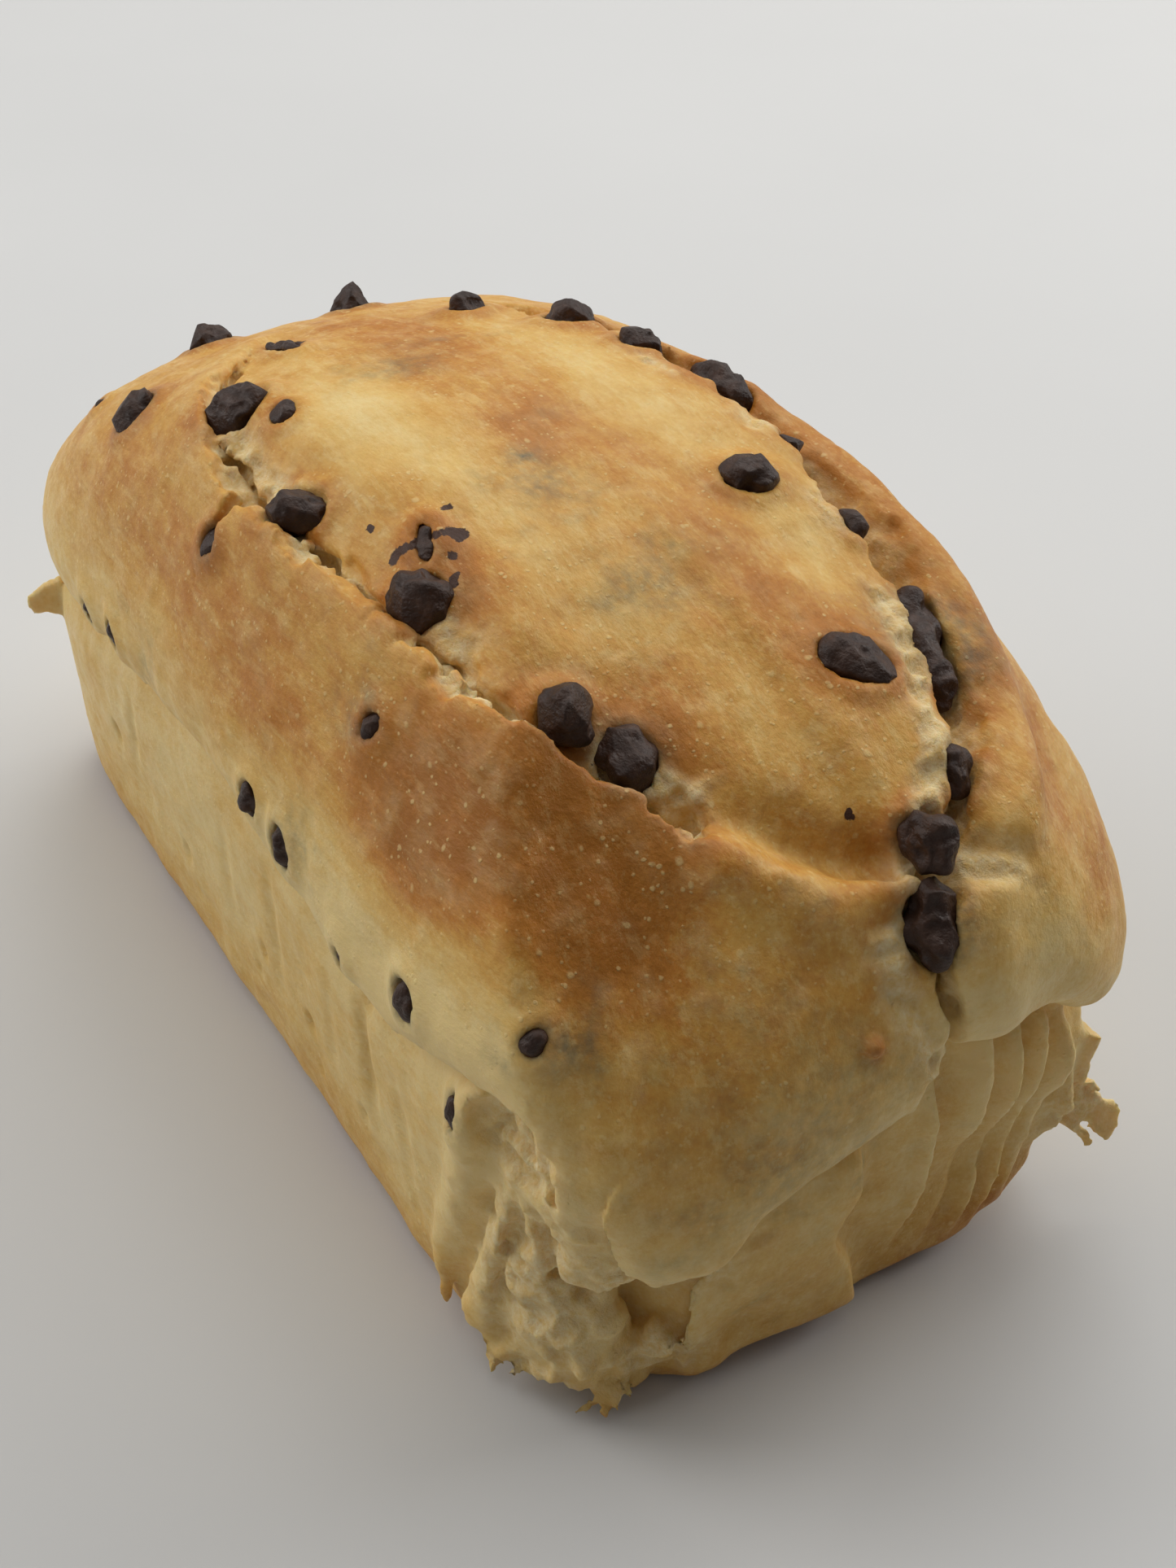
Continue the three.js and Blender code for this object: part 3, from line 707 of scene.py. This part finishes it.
FRAYED = [       # flaps and threads of bare crumb: place and reach
    ((107, 49, 24), 9.0), ((-105, -51, 50), 7.0), ((99, 6, 90), 4.0), ((95, -50, 3), 9.0),
]


def browning_and_pleat_shade(points, normals):
    """How much the oven has coloured each place, 0..1, with painted shade in the pleats' valleys and painted
    light on their proud edges.
    """
    x, y, z = points.T
    lip = lip_height(x, y)
    crown = smooth_step(z, lip + 2.0, lip + 34.0)
    bake_and_pleat_shade = 0.16 + 0.34 * crown
    bake_and_pleat_shade += 0.22 * (1.0 - smooth_step(z, 2.0, 26.0)) * (1.0 - crown)
    for places, sign in ((BROWNED, 1.0), (PALE, -1.0)):
        for centre, reach, amount in places:
            away = (points - centre) / np.array(reach, dtype=float)
            bake_and_pleat_shade += sign * amount * np.exp(-(away ** 2).sum(axis=1))
    bake_and_pleat_shade += 0.06 * noise(points, 22.0, 81) + 0.06 * rough_noise(points, (14, 9, 9), 82)
    for centre, radius in chocolate_places():
        far = np.linalg.norm(points - centre, axis=1)
        bake_and_pleat_shade += 0.20 * bell(far, radius * 1.5, radius * 0.7) * crown
    # Painted shade in the pleats' valleys and painted light on their proud edges, with the pleated wall a
    # little darker all over.
    fold, there = pleats(points)
    bake_and_pleat_shade += there * (0.16 - 0.30 * fold)
    edge = bell(z, 2.5, 2.5) * (1.0 - smooth_step(normals[:, 2], -0.5, 0.5))
    bake_and_pleat_shade += 0.35 * edge * (0.6 + 0.6 * noise(points, 8.0, 83))
    underneath = smooth_step(-normals[:, 2], 0.6, 0.9) * (z < 1.5)
    return np.clip(np.where(underneath > 0.5, 0.62 + 0.1 * noise(points, 16.0, 84), bake_and_pleat_shade), 0.0, 1.0)


def crumb_share(points):
    """1 where the skin is broken open and the soft crumb shows."""
    depth = -field.sample(points, closed_skin)
    split = smooth_step(depth, 0.9, 2.6) * smooth_step(points[:, 2], 66.0, 74.0)
    split = split * (1.0 - 0.8 * bell(field.value_at(points, right_seam.sideways), -6.5, 4.5))
    patches = smooth_step(noise(points, (11, 7, 7), 92), -0.3, 0.3)
    for seam, beside, reach in ((left_seam, -2.8, 3.2), (right_seam, 5.2, 2.6)):
        side = field.value_at(points, seam.sideways)
        share = field.value_at(points, seam.share)
        split = np.maximum(split, 0.95 * patches * bell(side, beside, reach) * smooth_step(share, 0.1, 0.2))
    torn = np.zeros(len(points))
    for centre, reach in TORN:
        away = (points - centre) / np.array(reach, dtype=float)
        torn = np.maximum(torn, np.exp(-(away ** 2).sum(axis=1) ** 1.5))
    frayed = np.zeros(len(points))
    for centre, reach in FRAYED:
        frayed = np.maximum(frayed, bell(np.linalg.norm(points - centre, axis=1), 0.0, reach))
    return np.clip(np.maximum(np.maximum(split, torn), frayed) + 0.15 * noise(points, 3.0, 91), 0.0, 1.0)


def chocolate_grey_and_painted_shade(points):
    """How grey-green the skin looks over buried chocolate and low down round the chips, and painted shade on
    the near end's bulge, 0..1.
    """
    shade = np.zeros(len(points))
    for centre, radius, strength in CHOCOLATE_GREY_AND_PAINTED_SHADE:
        far = np.linalg.norm(points - centre, axis=1) * (1.0 + 0.5 * noise(points, 4.0, 95))
        shade = np.maximum(shade, strength * bell(far, 0.0, radius))
    for centre, radius in chocolate_places():
        if centre[2] < 104.0:
            far = np.linalg.norm(points - centre, axis=1)
            shade = np.maximum(shade, 0.75 * bell(far, radius, radius * 0.55))
    return shade


def smeared(points):
    """Thin streaks and specks of chocolate wiped over the crust."""
    amount = np.zeros(len(points))
    for start, end, half in SMEARS:
        away = roll_distance(points, start, end, (0.0, 0.0)) + 0.45 * noise(points, 1.6, 97)
        amount = np.maximum(amount, 1.0 - smooth_step(away, half * 0.3, half * 1.1 + 0.5))
    return amount


# -------------------- materials
class Paint:
    """A node material and short ways to add nodes to it."""

    def __init__(self, name):
        self.material = bpy.data.materials.new(name)
        self.material.use_nodes = True
        self.tree = self.material.node_tree
        self.tree.nodes.clear()
        self.shader = self.node("ShaderNodeBsdfPrincipled")
        output = self.node("ShaderNodeOutputMaterial")
        self.link(self.shader.outputs[0], output.inputs["Surface"])
        self.place = self.node("ShaderNodeTexCoord").outputs["Object"]

    def node(self, kind, **settings):
        made = self.tree.nodes.new(kind)
        for key, value in settings.items():
            setattr(made, key, value)
        return made

    def link(self, source, target):
        self.tree.links.new(source, target)

    def put(self, socket, value):
        if isinstance(value, bpy.types.NodeSocket):
            self.link(value, socket)
        else:
            socket.default_value = value

    def attribute(self, name):
        return self.node("ShaderNodeAttribute", attribute_name=name).outputs["Fac"]

    def math(self, operation, a, b, clamp=False):
        made = self.node("ShaderNodeMath", operation=operation, use_clamp=clamp)
        self.put(made.inputs[0], a)
        self.put(made.inputs[1], b)
        return made.outputs[0]

    def span(self, value, low, high, new_low=0.0, new_high=1.0):
        made = self.node("ShaderNodeMapRange")
        for socket, number in zip(made.inputs, (value, low, high, new_low, new_high)):
            self.put(socket, number)
        return made.outputs[0]

    def stretched(self, scale):
        made = self.node("ShaderNodeMapping")
        self.put(made.inputs["Vector"], self.place)
        made.inputs["Scale"].default_value = scale
        return made.outputs[0]

    def wandering(self, reach):
        """The place shifted about by up to `reach` millimetres, so that outlines turn irregular."""
        made = self.node("ShaderNodeTexNoise")
        self.put(made.inputs["Vector"], self.place)
        made.inputs["Scale"].default_value = 1.0 / (reach * 4.0 * MM)
        shift = self.node("ShaderNodeVectorMath", operation="SCALE")
        self.put(shift.inputs[0], made.outputs["Color"])
        shift.inputs["Scale"].default_value = reach * 2.0 * MM
        total = self.node("ShaderNodeVectorMath", operation="ADD")
        self.put(total.inputs[0], self.place)
        self.put(total.inputs[1], shift.outputs[0])
        return total.outputs[0]

    def noise(self, cell, detail=3.0, roughness=0.55, where=None):
        """Noise of 0..1 with features about `cell` millimetres wide."""
        made = self.node("ShaderNodeTexNoise")
        self.put(made.inputs["Vector"], where or self.place)
        made.inputs["Scale"].default_value = 1.0 / (cell * MM)
        made.inputs["Detail"].default_value = detail
        made.inputs["Roughness"].default_value = roughness
        return made.outputs["Fac"]

    def cells(self, cell, where):
        made = self.node("ShaderNodeTexVoronoi")
        self.put(made.inputs["Vector"], where)
        made.inputs["Scale"].default_value = 1.0 / (cell * MM)
        return made

    def ramp(self, value, stops):
        made = self.node("ShaderNodeValToRGB")
        elements = made.color_ramp.elements
        while len(elements) < len(stops):
            elements.new(0.5)
        for element, (place, colour) in zip(elements, stops):
            element.position = place
            element.color = (*colour, 1.0)
        self.put(made.inputs["Fac"], value)
        return made.outputs["Color"]

    def mix(self, share, a, b, blend="MIX"):
        made = self.node("ShaderNodeMix", data_type="RGBA", blend_type=blend)
        self.put(made.inputs[0], share)
        for socket, value in ((made.inputs[6], a), (made.inputs[7], b)):
            self.put(socket, (*value, 1.0) if isinstance(value, tuple) else value)
        return made.outputs[2]

    def bump(self, height, distance, strength):
        made = self.node("ShaderNodeBump")
        made.inputs["Distance"].default_value = distance * MM
        made.inputs["Strength"].default_value = strength
        self.put(made.inputs["Height"], height)
        return made.outputs[0]


CREAM = (0.82, 0.61, 0.26)
STRAW = (0.76, 0.49, 0.15)
GOLD = (0.66, 0.35, 0.075)
AMBER = (0.52, 0.205, 0.032)
RUSSET = (0.36, 0.13, 0.014)
CRUMB = (0.90, 0.76, 0.47)
# Grey-green of buried chocolate, also used as painted shade on the near end's bulge.
BURIED_GREY_AND_SHADE = (0.10, 0.115, 0.085)
SMEAR = (0.060, 0.024, 0.012)


def baked_and_pleat_shaded_colour(paint, along):
    """The crust's colour from how far it is baked, broken up at three sizes, with pale flaky patches; on the
    pleated end it also holds painted shade in the valleys and painted light on the proud edges.
    """
    level = paint.attribute("bake_and_pleat_shade")
    patterns = [(paint.noise(7.0, 4.0, 0.6), 0.42), (paint.noise(2.4, 4.0, 0.65, where=along), 0.40),
                (paint.noise(0.9, 3.0, 0.6), 0.30)]
    for pattern, amount in patterns:
        change = paint.math("MULTIPLY", paint.math("SUBTRACT", pattern, 0.5), amount)
        level = paint.math("ADD", level, change)
    level = paint.math("MAXIMUM", level, 0.0, clamp=True)
    colour = paint.ramp(level, [(0.05, CREAM), (0.28, STRAW), (0.52, GOLD), (0.76, AMBER), (1.0, RUSSET)])
    lightly_baked = paint.span(level, 0.40, 0.80, 1.0, 0.35)
    for cell, detail, roughness, low, high, amount in ((3.2, 6.0, 0.75, 0.53, 0.60, 0.36),
                                                       (1.3, 5.0, 0.70, 0.56, 0.64, 0.30)):
        flakes = paint.span(paint.noise(cell, detail, roughness, where=along), low, high)
        share = paint.math("MULTIPLY", flakes, paint.math("MULTIPLY", lightly_baked, amount))
        colour = paint.mix(share, colour, CREAM)
    return colour


def blister_dots(paint):
    """Small pale blisters in three sizes, in some places more than in others."""
    dots = None
    for cell, size, rarity in ((3.2, 0.20, 0.70), (1.8, 0.24, 0.66), (1.1, 0.28, 0.70)):
        blisters = paint.cells(cell, where=paint.wandering(cell * 0.25))
        spot = paint.span(blisters.outputs["Distance"], size * 0.5, size, 1.0, 0.0)
        spot = paint.math("MULTIPLY", spot, paint.math("GREATER_THAN", blisters.outputs["Color"], rarity))
        dots = spot if dots is None else paint.math("MAXIMUM", dots, spot)
    return paint.math("MULTIPLY", dots, paint.span(paint.noise(14.0, 2.0), 0.35, 0.6, 0.35, 1.0))


def crust_material():
    paint = Paint("brioche_crust")
    along = paint.stretched((0.30, 1.0, 1.0))
    dots = blister_dots(paint)
    colour = paint.mix(paint.math("MULTIPLY", dots, 0.60), baked_and_pleat_shaded_colour(paint, along), CREAM)
    mottled = paint.span(paint.noise(2.2, 4.0), 0.35, 0.65, 0.25, 0.85)
    # Grey-green over buried chocolate, and painted shade on the near end's bulge.
    colour = paint.mix(paint.math("MULTIPLY", paint.attribute("shadow"), mottled), colour, BURIED_GREY_AND_SHADE)
    crumb = paint.attribute("crumb")
    fibres = paint.noise(1.4, 5.0, 0.7)
    colour = paint.mix(crumb, colour, paint.mix(paint.span(fibres, 0.3, 0.7), CRUMB, STRAW))
    smear = paint.span(paint.math("ADD", paint.attribute("smear"), paint.noise(0.8)), 0.95, 1.10)
    paint.link(paint.mix(smear, colour, SMEAR), paint.shader.inputs["Base Color"])
    gloss = paint.math("ADD", paint.span(paint.noise(3.5, 4.0), 0.3, 0.7, 0.36, 0.52),
                       paint.math("MULTIPLY", crumb, 0.35))
    paint.link(gloss, paint.shader.inputs["Roughness"])
    relief = paint.math("ADD", paint.noise(1.3, 5.0, 0.65, where=paint.stretched((0.5, 1.0, 1.0))),
                        paint.math("MULTIPLY", dots, 0.25))
    shreds = paint.math("MULTIPLY", paint.math("MULTIPLY", fibres, crumb), 2.2)
    paint.link(paint.bump(paint.math("ADD", relief, shreds), 0.40, 0.8), paint.shader.inputs["Normal"])
    paint.shader.inputs["Subsurface Weight"].default_value = 0.22
    paint.shader.inputs["Subsurface Radius"].default_value = (1.0, 0.55, 0.22)
    paint.shader.inputs["Subsurface Scale"].default_value = 3.0 * MM
    paint.shader.inputs["Specular IOR Level"].default_value = 0.22
    return paint.material


def chocolate_material():
    paint = Paint("dark_chocolate")
    patches = paint.noise(2.5, 4.0)
    colour = paint.ramp(patches, [(0.3, (0.026, 0.011, 0.006)), (0.55, (0.046, 0.021, 0.012)),
                                  (0.8, (0.085, 0.042, 0.026))])
    paint.link(colour, paint.shader.inputs["Base Color"])
    paint.link(paint.span(paint.noise(1.6, 3.0), 0.3, 0.7, 0.34, 0.60), paint.shader.inputs["Roughness"])
    folds = paint.noise(1.8, 3.0, 0.5, where=paint.stretched((0.6, 1.0, 1.5)))
    height = paint.math("ADD", paint.math("MULTIPLY", folds, 1.6), paint.noise(0.6, 4.0, 0.6))
    paint.link(paint.bump(height, 0.30, 0.8), paint.shader.inputs["Normal"])
    paint.shader.inputs["Specular IOR Level"].default_value = 0.32
    return paint.material


def floor_material():
    paint = Paint("pale_floor")
    colour = paint.mix(paint.noise(160.0, 3.0), (0.62, 0.62, 0.61), (0.66, 0.66, 0.65))
    paint.link(colour, paint.shader.inputs["Base Color"])
    paint.shader.inputs["Roughness"].default_value = 0.7
    return paint.material


# -------------------- pieces
def bread(material):
    points, quads = meshed_skin()
    normals = skin_normals(points, quads)
    crumb = crumb_share(points)
    points = roughen(points, normals, crumb)
    thing = mesh_object("brioche_loaf", points, quads)
    paint_attribute(thing, "bake_and_pleat_shade", browning_and_pleat_shade(points, normals))
    paint_attribute(thing, "crumb", crumb)
    paint_attribute(thing, "shadow", chocolate_grey_and_painted_shade(points))
    paint_attribute(thing, "smear", smeared(points))
    thing.data.materials.append(material)
    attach(thing, "root")
    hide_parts("loaf")


def broken(points, seed):
    """The proud side of a chip, sheared off along a few flat breaks."""
    chance = np.random.default_rng(seed)
    middle = points.mean(axis=0)
    out = middle - heart_of(middle)
    out /= np.linalg.norm(out)
    for _ in range(4):
        way = out + 0.9 * chance.normal(size=3)
        way /= np.linalg.norm(way)
        reach = (points - middle) @ way
        beyond = np.maximum(reach - np.percentile(reach, 91.0), 0.0)
        points = points - 0.8 * beyond[:, None] * way
    return points


def melted(points, normals, whole_chip, seed):
    """Points of a piece wrinkled and dented as chocolate that melted and set again."""
    size = float(np.mean(points.max(axis=0) - points.min(axis=0)))
    coarse = 0.10 * size * noise(points, max(size * 0.36, 1.5), seed)
    fold = 0.34 * (1.0 - np.abs(noise(points, 2.3, seed + 50)) * 2.4) * smooth_step(size, 3.0, 8.0)
    fine = 0.08 * rough_noise(points, 1.1, seed + 90)
    swell = 0.5 if whole_chip else 0.15
    points = points + normals * (coarse + fold + fine + swell)[:, None]
    return broken(points, seed) if whole_chip else points


def chocolate_piece(name, material, seed):
    """The CAD solid rounded off and then melted."""
    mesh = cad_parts[name].data.copy()
    shape = bmesh.new()
    shape.from_mesh(mesh)
    bmesh.ops.remove_doubles(shape, verts=shape.verts, dist=0.02 * MM)
    shape.to_mesh(mesh)
    shape.free()
    thing = bpy.data.objects.new(name + "_choc", mesh)
    bpy.context.scene.collection.objects.link(thing)
    rounding = thing.modifiers.new("round", "SUBSURF")
    rounding.levels = rounding.render_levels = 3
    solid = bmesh.new()
    solid.from_object(thing, bpy.context.evaluated_depsgraph_get())
    thing.modifiers.clear()
    points = np.array([v.co for v in solid.verts]) / MM
    normals = np.array([v.normal for v in solid.verts])
    whole_chip = name.startswith("chip") and points[:, 2].max() > CROWN_CHIPS_ABOVE
    for vert, place in zip(solid.verts, melted(points, normals, whole_chip, seed)):
        vert.co = Vector(place * MM)
    solid.to_mesh(mesh)
    solid.free()
    mesh.shade_smooth()
    mesh.materials.clear()
    mesh.materials.append(material)
    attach(thing, "root")
    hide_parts(name)


# -------------------- studio
LAMPS_AIM_AT = (0.0, 0.0, 0.05)
LAMPS = [        # name, place and size in metres, power and colour
    ("window", (-0.75, 0.70, 1.15), 1.1, 6.5, (1.0, 0.985, 0.96)),
    ("ceiling", (-0.30, 0.0, 1.8), 1.5, 7.6, (1.0, 0.98, 0.95)),
    ("side", (-1.05, -0.95, 0.85), 1.0, 9.0, (1.0, 0.98, 0.96)),
    ("far_side", (0.05, 1.40, 0.8), 1.0, 9.8, (1.0, 0.98, 0.96)),
]


def floor(material):
    half = 4.0
    corners = [(-half, -half, 0.0), (half, -half, 0.0), (half, half, 0.0), (-half, half, 0.0)]
    mesh = bpy.data.meshes.new("floor")
    mesh.from_pydata(corners, [], [(0, 1, 2, 3)])
    thing = bpy.data.objects.new("floor", mesh)
    bpy.context.scene.collection.objects.link(thing)
    mesh.materials.append(material)


def soft_light(name, place, size, power, colour):
    lamp = bpy.data.lights.new(name, "AREA")
    lamp.shape = "DISK"
    lamp.size = size
    lamp.energy = power
    lamp.color = colour
    thing = bpy.data.objects.new(name, lamp)
    thing.location = place
    thing.rotation_euler = (Vector(LAMPS_AIM_AT) - Vector(place)).to_track_quat("-Z", "Y").to_euler()
    bpy.context.scene.collection.objects.link(thing)


def room_light():
    """Soft light all round, brightest behind and above and dim on the camera's side."""
    world = bpy.data.worlds.new("pale_room")
    world.use_nodes = True
    tree = world.node_tree
    way = tree.nodes.new("ShaderNodeTexCoord").outputs["Generated"]
    facing = tree.nodes.new("ShaderNodeVectorMath")
    facing.operation = "DOT_PRODUCT"
    facing.inputs[1].default_value = (-0.80, -0.15, 0.58)
    tree.links.new(way, facing.inputs[0])
    strength = tree.nodes.new("ShaderNodeMapRange")
    for socket, number in zip(strength.inputs[1:5], (-0.5, 1.0, ROOM_DIM, ROOM_BRIGHT)):
        socket.default_value = number
    tree.links.new(facing.outputs["Value"], strength.inputs[0])
    background = tree.nodes["Background"]
    background.inputs["Color"].default_value = (0.93, 0.96, 1.0, 1.0)
    tree.links.new(strength.outputs[0], background.inputs["Strength"])
    bpy.context.scene.world = world


def studio():
    room_light()
    for name, place, size, power, colour in LAMPS:
        soft_light(name, place, size, power, colour)
    bpy.context.scene.view_settings.view_transform = "Standard"


def camera():
    azimuth, elevation, roll = (math.radians(a) for a in (CAMERA_AZIMUTH, CAMERA_ELEVATION, CAMERA_ROLL))
    lens = bpy.data.cameras.new("camera")
    lens.sensor_width = FILM_WIDTH
    lens.lens = LENS
    lens.clip_start = 0.01
    thing = bpy.data.objects.new("camera", lens)
    turn = (Matrix.Rotation(azimuth, 4, "Z") @ Matrix.Rotation(math.pi / 2 - elevation, 4, "X")
            @ Matrix.Rotation(roll, 4, "Z"))
    thing.matrix_world = Matrix.Translation(Vector((CAMERA_PLACE - CENTRE) * MM)) @ turn
    bpy.context.scene.collection.objects.link(thing)
    bpy.context.scene.camera = thing


# -------------------- building everything
CHOCOLATE_NODES = [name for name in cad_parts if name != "loaf"]
field = Field()
left_seam = Stroke(LEFT_SEAM, 18.0)
right_seam = Stroke(RIGHT_SEAM, 20.0, 0.6)
side_tear = Stroke(SIDE_TEAR, 6.0)
swell_between_seams()
closed_skin = field.distance.copy()
open_seams()
end_wall_pleats()
end_wall_fold()
torn_corner()
lifted_corner()
side_wall_marks()
chocolate_pits()
loose_flaps()
flatten_base()
bread(crust_material())
dark = chocolate_material()
for number, node_name in enumerate(CHOCOLATE_NODES):
    chocolate_piece(node_name, dark, 200 + number)
floor(floor_material())
studio()
camera()
